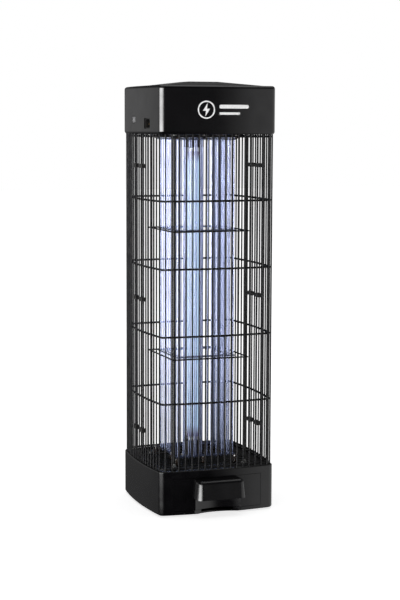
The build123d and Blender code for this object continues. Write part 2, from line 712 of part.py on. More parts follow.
def deck_rail():
    """The front rail of the deck's frame: bowed outside, straight inside, mitred at its ends."""
    outline = bowed_square(WALL + FIT_GAP) - Rectangle(2 * DECK_OPENING_HALF, 2 * DECK_OPENING_HALF)
    reach = 2 * BODY_HALF
    wedge = make_face(Polyline((0, 0), (-reach, -reach), (reach, -reach), close=True))
    return Pos(0, 0, DECK_TOP - DECK_THICKNESS) * extrude(outline & wedge, DECK_THICKNESS)


def make_deck_frame():
    return four_turns(deck_rail())


def slat_places():
    """Middles of the slats, spread evenly between the two carriers."""
    span = 2 * TIE_HALF - CARRIER_WIDTH
    gap = (span - SLAT_COUNT * SLAT_WIDTH) / (SLAT_COUNT + 1)
    return [-span / 2 + gap + SLAT_WIDTH / 2 + (gap + SLAT_WIDTH) * step for step in range(SLAT_COUNT)]


def make_deck_slats():
    thickness = DECK_THICKNESS + 1
    level = DECK_TOP - thickness
    slat = Box(2 * DECK_OPENING_HALF, SLAT_WIDTH, thickness, align=BOTTOM)
    slat = chamfer(slat.edges().filter_by(Axis.X).group_by(Axis.Z)[-1], 0.8)
    return [Pos(0, y, level) * slat for y in slat_places()]


def make_deck_carriers():
    thickness = DECK_THICKNESS + 1
    carrier = Box(2 * DECK_OPENING_HALF, CARRIER_WIDTH, thickness, align=BOTTOM)
    for x in (-TIE_HALF, TIE_HALF):
        carrier -= Pos(x, 0, 0) * Cylinder(TIE_HOLE_DIAMETER / 2, 3 * thickness)
    return [Pos(0, y, DECK_TOP - thickness) * carrier for y in (-TIE_HALF, TIE_HALF)]


# Base --------------------------------------------------------------------------------------

def scoop(extra=0.0):
    """The hollow for the fingers: part of an upright cylinder, cut into the front."""
    front = side_offset(0, 0)
    centre_y = -front - SCOOP_RADIUS + SCOOP_DEPTH
    return post(SCOOP_RADIUS + extra, FOOT_HEIGHT - 1, SCOOP_TOP + extra, 0, centre_y)


def make_base_shell():
    shell = fillet(high_edges(prism(0, PAN_TOP, BASE_TOP)), RIM_RADIUS)
    shell -= prism(WALL, PAN_TOP - 1, BASE_TOP - LIP_THICKNESS)
    shell -= prism(LIP_INSET, PAN_TOP, BASE_TOP + 1)
    shell -= block((-PANEL_HALF_WIDTH, PANEL_HALF_WIDTH), (-2 * BODY_HALF, -100), (PAN_TOP - 1, PANEL_TOP))
    return shell


def make_base_pan():
    pan = fillet(low_edges(prism(0, FOOT_HEIGHT, PAN_TOP)), PAN_EDGE_RADIUS)
    pan -= prism(PAN_EDGE_RADIUS + WALL, FOOT_HEIGHT + WALL, PAN_TOP + 1)
    pan -= scoop(0.8)
    return pan


def make_rubber_feet():
    foot = Cone(FOOT_RADIUS, FOOT_RADIUS + 1.5, FOOT_HEIGHT, align=BOTTOM)
    return [Pos(x, y, 0) * foot for x, y in four_corners(FOOT_HALF)]


def make_tray_rails():
    """Two runners that carry the tray, each with a guide strip beside it."""
    outer = TRAY_HALF_WIDTH + 0.6 + GUIDE_WIDTH
    y_range = (-96, 100)
    low, high = FOOT_HEIGHT + WALL, TRAY_FLOOR - 0.2
    runner = block((outer - RAIL_WIDTH, outer), y_range, (low, high))
    guide = block((outer - GUIDE_WIDTH, outer), y_range, (high, high + GUIDE_HEIGHT))
    pieces = []
    for rail in (runner, guide):
        pieces += [rail, mirror(rail, Plane.YZ)]
    return pieces


# Tray --------------------------------------------------------------------------------------

def make_tray_box():
    x, y = (-TRAY_HALF_WIDTH, TRAY_HALF_WIDTH), (TRAY_FRONT_Y, TRAY_BACK_Y)
    outside = block(x, y, (TRAY_FLOOR, TRAY_FLOOR + TRAY_DEPTH))
    inside = block((x[0] + TRAY_WALL, x[1] - TRAY_WALL), (y[0] + TRAY_WALL, y[1] - TRAY_WALL),
                   (TRAY_FLOOR + TRAY_WALL, TRAY_FLOOR + TRAY_DEPTH + 1))
    return outside - inside


def panel_screw_places():
    return [(x, TRAY_FLOOR + TRAY_DEPTH / 2) for x in (-72, 72)]


def make_tray_front():
    """A slice of the base's bowed wall with the finger scoop formed in it."""
    half = PANEL_HALF_WIDTH - PANEL_GAP
    region = block((-half, half), (-2 * BODY_HALF, TRAY_FRONT_Y),
                   (PAN_TOP + PANEL_GAP, PANEL_TOP - PANEL_GAP))
    low, high = PAN_TOP, PANEL_TOP
    hollow = prism(WALL, low, high) - scoop(WALL)
    panel = (prism(0, low, high) & region) - hollow - scoop()
    for x, z in panel_screw_places():
        boss = bar_along_y(4, -side_offset(x, WALL) - 1, TRAY_FRONT_Y, x, z)
        panel += boss
        panel -= bar_along_y(SCREW_RADIUS + 0.1, TRAY_FRONT_Y - 6, TRAY_FRONT_Y + 1, x, z)
    return panel


def make_tray_screws():
    shape = screw(0, 0, 0, 8)
    seat = TRAY_FRONT_Y + TRAY_WALL
    return [Pos(x, seat, z) * Rot(90, 0, 0) * shape for x, z in panel_screw_places()]


def handle_block(inset):
    """The handle's outside, or the same drawn in by a wall: wider below, round in front and on top."""
    half = HANDLE_HALF_WIDTH - inset
    front = -side_offset(0, 0) - HANDLE_REACH + inset
    back = -BODY_HALF + EDGE_RADIUS
    plan = Pos(0, (front + back) / 2) * Rectangle(2 * half, back - front)
    plan = fillet(plan.vertices().group_by(Axis.Y)[0], HANDLE_CORNER - inset)
    low, high = HANDLE_LOW - inset, HANDLE_HIGH - inset
    body = Pos(0, 0, low) * extrude(plan, high - low, taper=HANDLE_DRAFT)
    rim = high_edges(body).sort_by(Axis.Y)[:-1]
    return fillet(rim, HANDLE_EDGE - inset)


def make_tray_handle():
    """A hooded pull: open below, closed in front, above and at both ends."""
    inside = handle_block(HANDLE_WALL)
    inside += extrude(inside.faces().sort_by(Axis.Z)[0], HANDLE_WALL)
    return handle_block(0) - inside - prism(WELD_BITE, 0, HOOD_LOW)


# Assembly ----------------------------------------------------------------------------------

def build_nodes():
    """Every node of the object, by name, as a list of its separate solids."""
    lower_rotor, upper_rotor = make_rotors()
    nodes = {
        "hood_shell": [make_hood_shell()],
        "hood_floor": [make_hood_floor()],
        "hood_screws": make_hood_screws(),
        "emblem": make_emblem(),
        "switch_frame": [make_switch_frame()],
        "switch_body": [make_switch_body()],
        "switch_rocker": [make_switch_rocker()],
        "inlet_body": [make_inlet_body()],
        "inlet_pins": make_inlet_pins(),
        "ballast": [make_ballast()],
        "ballast_screws": make_ballast_screws(),
        "transformer_core": [make_transformer_core()],
        "transformer_winding": [make_transformer_winding()],
        "circuit_board": [make_circuit_board()],
        "board_standoffs": make_board_standoffs(),
        "capacitors": make_capacitors(),
        "diodes": make_diodes(),
        "terminal_block": [make_terminal_block()],
        "terminal_screws": make_terminal_screws(),
        "internal_wires": make_internal_wires(),
        "guard_clips": make_guard_clips(),
        "tie_rods": make_tie_rods(),
        "tie_rod_nuts": make_tie_rod_nuts(),
        "support_hoops": make_support_hoops(),
        "live_rods": make_live_rods(),
        "live_hoops": make_grid_hoops(live_hoop_half()),
        "return_rods": make_return_rods(),
        "return_hoops": make_grid_hoops(return_hoop_half()),
        "lower_insulators": make_lower_insulators(),
        "upper_insulators": make_upper_insulators(),
        "lamp_glass": make_lamp_glass(),
        "lamp_caps": make_lamp_caps(),
        "lamp_pins": make_lamp_pins(),
        "lower_rotor": [lower_rotor],
        "upper_rotor": [upper_rotor],
        "lower_lampholder": [at_lamp(DECK_TOP) * lampholder(LOWER_HOLDER_HEIGHT)],
        "upper_lampholder": [at_lamp(HOOD_LOW) * Rot(0, 180, 0) * lampholder(UPPER_HOLDER_HEIGHT)],
        "lampholder_screws": make_lampholder_screws(),
        "deck_frame": make_deck_frame(),
        "deck_slats": make_deck_slats(),
        "deck_carriers": make_deck_carriers(),
        "base_shell": [make_base_shell()],
        "base_pan": [make_base_pan()],
        "rubber_feet": make_rubber_feet(),
        "tray_rails": make_tray_rails(),
        "tray_box": [make_tray_box()],
        "tray_front": [make_tray_front()],
        "tray_handle": [make_tray_handle()],
        "tray_screws": make_tray_screws(),
    }
    for turns, side in enumerate(("front", "right", "back", "left")):
        nodes["guard_" + side] = make_guard_panel(turns)
    return nodes


def export_nodes(nodes):
    os.makedirs("parts", exist_ok=True)
    for name, pieces in nodes.items():
        placed = [solid for piece in pieces for solid in (AXIS_SHIFT * piece).solids()]
        export_step(Compound(children=placed), f"parts/{name}.step")


export_nodes(build_nodes())
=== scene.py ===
import json
import math

import bmesh
import bpy
from mathutils import Matrix, Vector


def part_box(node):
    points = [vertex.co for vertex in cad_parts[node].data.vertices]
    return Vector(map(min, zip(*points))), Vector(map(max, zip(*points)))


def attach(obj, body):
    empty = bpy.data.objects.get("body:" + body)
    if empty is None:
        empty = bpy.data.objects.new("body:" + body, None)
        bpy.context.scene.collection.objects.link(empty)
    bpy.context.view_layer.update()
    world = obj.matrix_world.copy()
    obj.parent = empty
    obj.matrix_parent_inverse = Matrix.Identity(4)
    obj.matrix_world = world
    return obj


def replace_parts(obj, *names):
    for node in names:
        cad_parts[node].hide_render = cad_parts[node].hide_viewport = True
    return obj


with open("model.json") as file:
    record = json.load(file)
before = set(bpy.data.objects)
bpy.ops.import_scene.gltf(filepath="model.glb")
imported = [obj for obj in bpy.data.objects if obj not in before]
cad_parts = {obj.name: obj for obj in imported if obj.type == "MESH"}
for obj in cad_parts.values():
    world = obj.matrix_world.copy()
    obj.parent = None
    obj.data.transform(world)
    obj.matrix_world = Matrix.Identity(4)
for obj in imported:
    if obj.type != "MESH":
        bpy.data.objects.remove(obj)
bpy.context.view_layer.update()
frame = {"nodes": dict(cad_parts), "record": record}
MM = 0.001

# Places read from the frame
TIE_LOW, TIE_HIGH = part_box("tie_rods")
AXIS_X = (TIE_LOW.x + TIE_HIGH.x) / 2
AXIS_Y = (TIE_LOW.y + TIE_HIGH.y) / 2
BASE_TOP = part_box("base_shell")[1].z


# The camera ----------------------------------------------------------------------------------

CAMERA_AZIMUTH = math.radians(-19.64)
CAMERA_ELEVATION = math.radians(6.46)
CAMERA_ROLL = math.radians(0.19)
CAMERA_DISTANCE = 3.141
CAMERA_LENS = 94.46
SENSOR_WIDTH = 36.0
CLIP_NEAR, CLIP_FAR = 0.1, 60.0
AIM_HEIGHT = 0.407
AIM_RIGHT = 4.8 * MM


def camera_direction():
    """From what the camera aims at towards the camera."""
    level = math.cos(CAMERA_ELEVATION)
    return Vector((math.sin(CAMERA_AZIMUTH) * level, -math.cos(CAMERA_AZIMUTH) * level,
                   math.sin(CAMERA_ELEVATION)))


def make_camera():
    data = bpy.data.cameras.new("camera")
    data.lens = CAMERA_LENS
    data.sensor_width = SENSOR_WIDTH
    data.clip_start, data.clip_end = CLIP_NEAR, CLIP_FAR
    camera = bpy.data.objects.new("camera", data)
    bpy.context.scene.collection.objects.link(camera)
    right = Vector((math.cos(CAMERA_AZIMUTH), math.sin(CAMERA_AZIMUTH), 0))
    aim = Vector((AXIS_X, AXIS_Y, AIM_HEIGHT)) + right * AIM_RIGHT
    back = camera_direction()
    camera.location = aim + back * CAMERA_DISTANCE
    turn = (-back).to_track_quat("-Z", "Y").to_matrix().to_4x4()
    camera.rotation_euler = (turn @ Matrix.Rotation(CAMERA_ROLL, 4, "Z")).to_euler()
    bpy.context.scene.camera = camera


make_camera()


# Node helpers --------------------------------------------------------------------------------

# Between these two values lie most of a noise texture's results
NOISE_LOW, NOISE_HIGH = 0.3, 0.7


class Surface:
    """One material's node tree, with short calls for the nodes that the materials share."""

    def __init__(self, name):
        self.material = bpy.data.materials.new(name)
        self.material.use_nodes = True
        self.tree = self.material.node_tree
        self.shader = self.tree.nodes["Principled BSDF"]
        self.coordinates = self.tree.nodes.new("ShaderNodeTexCoord").outputs["Object"]

    def set(self, **values):
        for name, value in values.items():
            self.shader.inputs[name.replace("_", " ")].default_value = value

    def link(self, output, socket):
        self.tree.links.new(output, self.shader.inputs[socket])

    def join(self, output, node, socket):
        self.tree.links.new(output, node.inputs[socket])

    def stretched(self, scale):
        """Object coordinates scaled by a different factor along each axis."""
        node = self.tree.nodes.new("ShaderNodeMapping")
        node.inputs["Scale"].default_value = scale
        self.join(self.coordinates, node, "Vector")
        return node.outputs["Vector"]

    def noise(self, scale, detail=3.0, vector=None):
        node = self.tree.nodes.new("ShaderNodeTexNoise")
        node.inputs["Scale"].default_value = scale
        node.inputs["Detail"].default_value = detail
        self.join(vector or self.coordinates, node, "Vector")
        return node.outputs["Fac"]

    def cells(self, scale):
        node = self.tree.nodes.new("ShaderNodeTexVoronoi")
        node.inputs["Scale"].default_value = scale
        self.join(self.coordinates, node, "Vector")
        return node.outputs["Distance"]

    def bands(self, scale, axis="Z"):
        node = self.tree.nodes.new("ShaderNodeTexWave")
        node.bands_direction = axis
        node.inputs["Scale"].default_value = scale
        node.inputs["Distortion"].default_value = 0.4
        self.join(self.coordinates, node, "Vector")
        return node.outputs["Fac"]

    def height(self):
        node = self.tree.nodes.new("ShaderNodeSeparateXYZ")
        self.join(self.coordinates, node, "Vector")
        return node.outputs["Z"]

    def upward(self):
        """How much the surface looks up, from the true normal."""
        geometry = self.tree.nodes.new("ShaderNodeNewGeometry")
        node = self.tree.nodes.new("ShaderNodeSeparateXYZ")
        self.join(geometry.outputs["Normal"], node, "Vector")
        return node.outputs["Z"]

    def spread(self, value, low, high, to_low=0.0, to_high=1.0):
        """A value's range, from low..high to to_low..to_high."""
        node = self.tree.nodes.new("ShaderNodeMapRange")
        ends = {"From Min": low, "From Max": high, "To Min": to_low, "To Max": to_high}
        for name, number in ends.items():
            node.inputs[name].default_value = number
        self.join(value, node, "Value")
        return node.outputs["Result"]

    def roughness(self, value, low, high):
        """Roughness that wanders from low to high with a noise."""
        self.link(self.spread(value, NOISE_LOW, NOISE_HIGH, low, high), "Roughness")

    def times(self, first, second):
        node = self.tree.nodes.new("ShaderNodeMath")
        node.operation = "MULTIPLY"
        self.join(first, node, 0)
        self.join(second, node, 1)
        return node.outputs["Value"]

    def mix(self, factor, first, second):
        """A colour between two, each a plain colour or another node's output."""
        node = self.tree.nodes.new("ShaderNodeMix")
        node.data_type = "RGBA"
        self.join(factor, node, "Factor")
        for socket, colour in ((node.inputs[6], first), (node.inputs[7], second)):
            if isinstance(colour, tuple):
                socket.default_value = (*colour, 1.0)
            else:
                self.tree.links.new(colour, socket)
        return node.outputs[2]

    def bump(self, height, strength, depth):
        node = self.tree.nodes.new("ShaderNodeBump")
        node.inputs["Strength"].default_value = strength
        node.inputs["Distance"].default_value = depth
        self.join(height, node, "Height")
        self.link(node.outputs["Normal"], "Normal")


# Materials -----------------------------------------------------------------------------------

DUST = (0.16, 0.155, 0.15)


def moulded_plastic(name, dark, light, rough, grain, bump, dust=0.25):
    """Moulded plastic: faint flow marks, a fine moulded grain, and dust on what looks up."""
    s = Surface(name)
    tone = s.mix(s.spread(s.noise(9.0, 4.0), 0.35, 0.65), dark, light)
    patches = s.spread(s.noise(240.0, 6.0), 0.35, 0.75, 0.0, dust)
    settled = s.times(s.spread(s.upward(), 0.6, 1.0), patches)
    s.link(s.mix(settled, tone, DUST), "Base Color")
    s.roughness(s.noise(35.0, 5.0), rough - 0.05, rough + 0.07)
    s.bump(s.noise(grain, 2.0), bump, 0.0002)
    return s.material


GLOSS_DARK = (0.0015, 0.0014, 0.0018)
GLOSS_LIGHT = (0.003, 0.0028, 0.0034)


def gloss_black():
    return moulded_plastic("gloss_black", GLOSS_DARK, GLOSS_LIGHT,
                           rough=0.17, grain=900.0, bump=0.04, dust=0.1)


def worn_gloss_black():
    """The hood's plastic, rubbed duller by fingers."""
    return moulded_plastic("worn_gloss_black", GLOSS_DARK, GLOSS_LIGHT,
                           rough=0.22, grain=900.0, bump=0.06, dust=0.1)


def satin_black():
    return moulded_plastic("satin_black", (0.005, 0.005, 0.005), (0.012, 0.011, 0.011),
                           rough=0.42, grain=1500.0, bump=0.22)


def rocker_black():
    return moulded_plastic("rocker_black", (0.10, 0.10, 0.104), (0.135, 0.134, 0.138),
                           rough=0.22, grain=1200.0, bump=0.04)


def powder_coat(name, dark, light):
    """Black powder coating on steel wire: an orange-peel skin with a few thin, greyer places."""
    s = Surface(name)
    thin = s.spread(s.noise(45.0, 6.0), 0.55, 0.8)
    s.link(s.mix(thin, dark, light), "Base Color")
    s.roughness(s.noise(120.0), 0.44, 0.6)
    s.set(Specular_IOR_Level=0.27)
    s.bump(s.cells(1100.0), 0.25, 0.0001)
    return s.material


GRID_DARKER_REACH = 220 * MM


def grid_steel():
    """Drawn steel under blue-bright zinc, with long draw lines, darker towards the deck. Its
    blue-violet colour is partly the zinc's own tint and partly painted light from the lamp.
    """
    s = Surface("grid_steel")
    lines = s.noise(1.0, 4.0, s.stretched((900.0, 900.0, 14.0)))
    # Blue-violet colour: partly the zinc's tint, partly painted light from the lamp on the rods.
    bright = s.mix(s.spread(lines, 0.35, 0.65), (0.29, 0.33, 0.50), (0.46, 0.50, 0.70))
    # The colour turns darker towards the deck.
    low = s.spread(s.height(), BASE_TOP + GRID_DARKER_REACH, BASE_TOP, 0.0, 0.8)
    s.link(s.mix(low, bright, (0.10, 0.12, 0.20)), "Base Color")
    s.roughness(s.noise(70.0, 5.0), 0.26, 0.4)
    s.set(Metallic=1.0)
    s.bump(lines, 0.12, 0.0001)
    return s.material


def zinc_steel():
    """Zinc-plated steel with a faint spangle."""
    s = Surface("zinc_steel")
    spangle = s.spread(s.cells(260.0), 0.1, 0.7)
    s.link(s.mix(spangle, (0.42, 0.43, 0.44), (0.62, 0.62, 0.6)), "Base Color")
    s.roughness(s.noise(300.0), 0.28, 0.45)
    s.set(Metallic=1.0)
    s.bump(s.noise(1400.0), 0.1, 0.0001)
    return s.material


def turned_metal(name, dark, light, rough):
    """Metal with fine rings round the piece and soft stains."""
    s = Surface(name)
    rings = s.noise(1.0, 3.0, s.stretched((60.0, 60.0, 2600.0)))
    stain = s.spread(s.noise(160.0, 5.0), 0.35, 0.7)
    s.link(s.mix(stain, light, dark), "Base Color")
    s.roughness(rings, rough - 0.06, rough + 0.08)
    s.set(Metallic=1.0)
    s.bump(rings, 0.15, 0.0001)
    return s.material


def porcelain():
    """Brown glaze over clay: a soft orange peel and a few pale specks."""
    s = Surface("porcelain")
    specks = s.spread(s.cells(420.0), 0.0, 0.12, 1.0, 0.0)
    body = s.mix(s.spread(s.noise(55.0), 0.35, 0.65), (0.022, 0.014, 0.010), (0.045, 0.028, 0.019))
    s.link(s.mix(specks, body, (0.12, 0.08, 0.05)), "Base Color")
    s.roughness(s.noise(90.0), 0.12, 0.22)
    s.set(Coat_Weight=0.5, Coat_Roughness=0.06)
    s.bump(s.noise(240.0), 0.1, 0.0002)
    return s.material


LAMP_LOW, LAMP_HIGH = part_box("lamp_glass")
LAMP_END_DARK = 12 * MM
LAMP_END_SHADE = 30 * MM


def lit_phosphor():
    """The lit tube: even and pale blue, with the usual grey-violet shade near its two ends."""
    s = Surface("lit_phosphor")
    low_end = s.spread(s.height(), LAMP_LOW.z + LAMP_END_DARK, LAMP_LOW.z + LAMP_END_SHADE)
    high_end = s.spread(s.height(), LAMP_HIGH.z - LAMP_END_DARK, LAMP_HIGH.z - LAMP_END_SHADE)
    lit = s.times(low_end, high_end)
    grain = s.spread(s.noise(140.0, 4.0), NOISE_LOW, NOISE_HIGH)
    glow = s.mix(grain, (0.33, 0.60, 0.98), (0.44, 0.70, 1.0))
    s.link(s.mix(lit, (0.16, 0.14, 0.2), (0.72, 0.8, 0.86)), "Base Color")
    s.link(s.mix(lit, (0.07, 0.07, 0.16), glow), "Emission Color")
    s.roughness(s.noise(80.0), 0.1, 0.18)
    s.set(Emission_Strength=0.66, Coat_Weight=1.0, Coat_Roughness=0.03)
    return s.material


def white_print():
    """White enamel, a little worn."""
    s = Surface("white_print")
    wear = s.spread(s.noise(400.0, 5.0), 0.35, 0.7)
    s.link(s.mix(wear, (0.82, 0.82, 0.82), (0.66, 0.66, 0.66)), "Base Color")
    s.roughness(s.noise(200.0), 0.35, 0.5)
    s.bump(s.noise(1800.0), 0.1, 0.0001)
    return s.material


def rubber():
    """Black rubber with a grey bloom."""
    s = Surface("rubber")
    bloom = s.spread(s.noise(80.0, 5.0), 0.35, 0.7)
    s.link(s.mix(bloom, (0.012, 0.012, 0.012), (0.035, 0.033, 0.03)), "Base Color")
    s.roughness(s.noise(240.0), 0.7, 0.88)
    s.bump(s.noise(1600.0), 0.35, 0.0002)
    return s.material


def circuit_board():
    """Green solder mask over copper tracks."""
    s = Surface("circuit_board")
    tracks = s.spread(s.bands(55.0, "DIAGONAL"), 0.5, 0.62)
    s.link(s.mix(tracks, (0.012, 0.09, 0.03), (0.03, 0.17, 0.06)), "Base Color")
    s.roughness(s.noise(90.0), 0.25, 0.4)
    s.bump(tracks, 0.3, 0.0001)
    return s.material


def copper_winding():
    """Enamelled wire laid in close turns."""
    s = Surface("copper_winding")
    turns = s.bands(420.0)
    s.link(s.mix(turns, (0.16, 0.05, 0.015), (0.55, 0.22, 0.08)), "Base Color")
    s.roughness(s.noise(120.0), 0.22, 0.36)
    s.bump(turns, 0.6, 0.0003)
    return s.material


def sleeve(name, dark, light, rough):
    """A smooth plastic sleeve or insulation with a little mottling."""
    s = Surface(name)
    s.link(s.mix(s.spread(s.noise(110.0, 4.0), 0.35, 0.7), dark, light), "Base Color")
    s.roughness(s.noise(260.0), rough - 0.05, rough + 0.08)
    s.bump(s.noise(900.0), 0.1, 0.0001)
    return s.material


MATERIALS = {
    "black_gloss": gloss_black(),
    "black_matte": satin_black(),
    "rocker_black": rocker_black(),
    "guard_wire": powder_coat("guard_coat", (0.004, 0.004, 0.005), (0.02, 0.019, 0.018)),
    "black_steel": powder_coat("rod_coat", (0.004, 0.004, 0.004), (0.02, 0.019, 0.018)),
    "grid_steel": grid_steel(),
    "zinc_steel": zinc_steel(),
    "porcelain": porcelain(),
    "lamp_glass": lit_phosphor(),
    "cap_aluminium": turned_metal("cap_aluminium", (0.5, 0.51, 0.53), (0.78, 0.79, 0.8), 0.3),
    "brass": turned_metal("brass", (0.3, 0.2, 0.07), (0.5, 0.37, 0.16), 0.34),
    "mark_white": white_print(),
    "foot_rubber": rubber(),
    "board_green": circuit_board(),
    "copper_winding": copper_winding(),
    "capacitor_blue": sleeve("capacitor_blue", (0.02, 0.035, 0.12), (0.04, 0.06, 0.2), 0.3),
    "terminal_white": sleeve("terminal_white", (0.5, 0.49, 0.44), (0.66, 0.65, 0.6), 0.4),
    "wire_insulation": sleeve("wire_insulation", (0.2, 0.02, 0.015), (0.34, 0.04, 0.03), 0.42),
}


def dress_cad_nodes():
    """Every CAD node takes the material of its slot in the record; the handle takes a worn one."""
    for row in frame["record"]["subparts"]:
        node = frame["nodes"][row["node"]]
        node.data.materials.clear()
        node.data.materials.append(MATERIALS[row["material_slot"]])
    frame["nodes"]["tray_handle"].data.materials[0] = worn_gloss_black()


dress_cad_nodes()


# Mesh helpers --------------------------------------------------------------------------------

MERGE_DISTANCE = 1e-6


def add_piece(name, mesh, slot, body, smooth=True):
    """A visual piece that rides on a body and takes a slot's material."""
    mesh.materials.append(MATERIALS[slot])
    for polygon in mesh.polygons:
        polygon.use_smooth = smooth
    piece = bpy.data.objects.new(name, mesh)
    bpy.context.scene.collection.objects.link(piece)
    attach(piece, body)
    return piece


def finished(bm, name):
    """The closed mesh of what was drawn, with its normals outwards."""
    bmesh.ops.remove_doubles(bm, verts=bm.verts, dist=MERGE_DISTANCE)
    bmesh.ops.recalc_face_normals(bm, faces=bm.faces)
    mesh = bpy.data.meshes.new(name)
    bm.to_mesh(mesh)
    bm.free()
    return mesh


def add_lathe(bm, profile, centre, segments, dimple=None):
    """A profile of (radius, height) points turned round an upright axis and closed at both ends.
    dimple gives how far the surface is pressed in at an angle and a height."""
    rings = []
    for radius, height in profile:
        ring = []
        for step in range(segments):
            angle = 2 * math.pi * step / segments
            r = radius - (dimple(angle, height) if dimple else 0.0)
            place = (centre[0] + r * math.cos(angle), centre[1] + r * math.sin(angle), height)
            ring.append(bm.verts.new(place))
        rings.append(ring)
    for low, high in zip(rings, rings[1:]):
        for step in range(segments):
            after = (step + 1) % segments
            bm.faces.new((low[step], low[after], high[after], high[step]))
    bm.faces.new(rings[0][::-1])
    bm.faces.new(rings[-1])


def arc(centre, radius, start, end, steps=6):
    """Points on an arc of a profile, angles in degrees."""
    angles = [math.radians(start + (end - start) * step / steps) for step in range(steps + 1)]
    return [(centre[0] + radius * math.cos(a), centre[1] + radius * math.sin(a)) for a in angles]


def mirrored(profile, level):
    """The same profile upside down about a level."""
    return [(radius, 2 * level - height) for radius, height in reversed(profile)]


# The lamp ------------------------------------------------------------------------------------

LAMP_X = (LAMP_LOW.x + LAMP_HIGH.x) / 2
LAMP_Y = (LAMP_LOW.y + LAMP_HIGH.y) / 2
LAMP_MIDDLE = (LAMP_LOW.z + LAMP_HIGH.z) / 2
TUBE_RADIUS = (LAMP_HIGH.x - LAMP_LOW.x) / 2
CAPS_LOW, CAPS_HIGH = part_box("lamp_caps")
CAP_RADIUS = (CAPS_HIGH.x - CAPS_LOW.x) / 2
CAP_HEIGHT = 8 * MM
TUBE_SHOULDER = 3 * MM
TUBE_STEPS = 24
TUBE_SEGMENTS = 56

CAP_EDGE = 1.4 * MM
CAP_FACE_STEP = 0.5 * MM
CAP_SKIRT_INSET = 0.25 * MM
CAP_LIP = 0.5 * MM
CAP_GRIP = 0.3 * MM
CAP_SEGMENTS = 96
CRIMP_LEVEL = CAP_HEIGHT * 0.62
CRIMP_DEPTH = 0.5 * MM
CRIMP_SPREAD = 0.9 * MM
CRIMPS = 6


def make_lamp_tube():
    """A tube whose glass draws in to a shoulder inside each cap."""
    neck = TUBE_RADIUS - TUBE_SHOULDER
    lower = [(neck, LAMP_LOW.z)]
    lower += arc((neck, LAMP_LOW.z + TUBE_SHOULDER), TUBE_SHOULDER, -90, 0)[1:]
    start = lower[-1][1]
    length = 2 * (LAMP_MIDDLE - start)
    middle = [(TUBE_RADIUS, start + length * step / TUBE_STEPS) for step in range(1, TUBE_STEPS)]
    bm = bmesh.new()
    add_lathe(bm, lower + middle + mirrored(lower, LAMP_MIDDLE), (LAMP_X, LAMP_Y), TUBE_SEGMENTS)
    tube = add_piece("lamp_tube", finished(bm, "lamp_tube"), "lamp_glass", "lamp")
    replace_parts(tube, "lamp_glass")


def crimp(angle, height):
    """Small dimples round each cap that fix it to the glass."""
    from_end = min(height - CAPS_LOW.z, CAPS_HIGH.z - height)
    near = math.exp(-((from_end - CRIMP_LEVEL) / CRIMP_SPREAD) ** 2)
    return CRIMP_DEPTH * near * max(0.0, math.cos(CRIMPS * angle)) ** 8


def cap_profile(low):
    """A drawn cap: a rounded end, a stepped face, a straight skirt and a rolled lip."""
    skirt_radius = CAP_RADIUS - CAP_SKIRT_INSET
    skirt_shares = (0.3, 0.45, 0.55, 0.62, 0.7, 0.8)
    end = [(CAP_RADIUS * 0.55, low + CAP_FACE_STEP), (CAP_RADIUS * 0.6, low)]
    corner = arc((skirt_radius - CAP_EDGE, low + CAP_EDGE), CAP_EDGE, -90, 0)
    skirt = [(skirt_radius, low + CAP_HEIGHT * share) for share in skirt_shares]
    lip = arc((CAP_RADIUS - CAP_LIP, low + CAP_HEIGHT - CAP_LIP), CAP_LIP, -40, 90)
    return end + corner + skirt + lip + [(TUBE_RADIUS - CAP_GRIP, low + CAP_HEIGHT)]


def make_lamp_caps():
    bm = bmesh.new()
    lower = cap_profile(CAPS_LOW.z)
    add_lathe(bm, lower, (LAMP_X, LAMP_Y), CAP_SEGMENTS, crimp)
    add_lathe(bm, mirrored(lower, LAMP_MIDDLE), (LAMP_X, LAMP_Y), CAP_SEGMENTS, crimp)
    caps = add_piece("lamp_cap_shells", finished(bm, "lamp_cap_shells"), "cap_aluminium", "lamp")
    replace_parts(caps, "lamp_caps")


# Insulators ----------------------------------------------------------------------------------

FOOT_EDGE = 1 * MM
POST_EDGE = 0.6 * MM
POST_SHARE = 0.66
RIB_SHARE = 0.93
RIB_HALF = 1.25 * MM
RIB_LEVEL = 6.75 * MM
RIB_FILLET = 1.6
INSULATOR_SEGMENTS = 36


def islands(node):
    """The middle of each separate solid of a node, and its lowest and highest corner."""
    bm = bmesh.new()
    bm.from_mesh(frame["nodes"][node].data)
    bmesh.ops.remove_doubles(bm, verts=bm.verts, dist=MERGE_DISTANCE)
    found, seen = [], set()
    for start in bm.verts:
        if start in seen:
            continue
        stack, group = [start], []
        seen.add(start)
        while stack:
            vert = stack.pop()
            group.append(vert.co.copy())
            for edge in vert.link_edges:
                other = edge.other_vert(vert)
                if other not in seen:
                    seen.add(other)
                    stack.append(other)
        low = Vector(map(min, zip(*group)))
        high = Vector(map(max, zip(*group)))
        found.append(((low + high) / 2, low, high))
    bm.free()
    return found


def insulator_profile(low, height, radius):
    """A glazed post on a rounded foot, with a rounded rib where it is tall enough."""
    post = radius * POST_SHARE
    points = arc((radius - FOOT_EDGE, low + FOOT_EDGE), FOOT_EDGE, -90, 0, 4)
    points += arc((radius - FOOT_EDGE, low + 2 * FOOT_EDGE), FOOT_EDGE, 0, 90, 4)
    if height > 2 * (RIB_LEVEL - RIB_HALF):
        level = low + RIB_LEVEL
        points += [(post, level - RIB_FILLET * RIB_HALF)]
        points += arc((radius * RIB_SHARE - RIB_HALF, level), RIB_HALF, -90, 90, 8)
        points += [(post, level + RIB_FILLET * RIB_HALF)]
    else:
        points += [(post, low + 3.6 * FOOT_EDGE)]
    points += arc((post - POST_EDGE, low + height - POST_EDGE), POST_EDGE, 0, 90, 4)
    return points


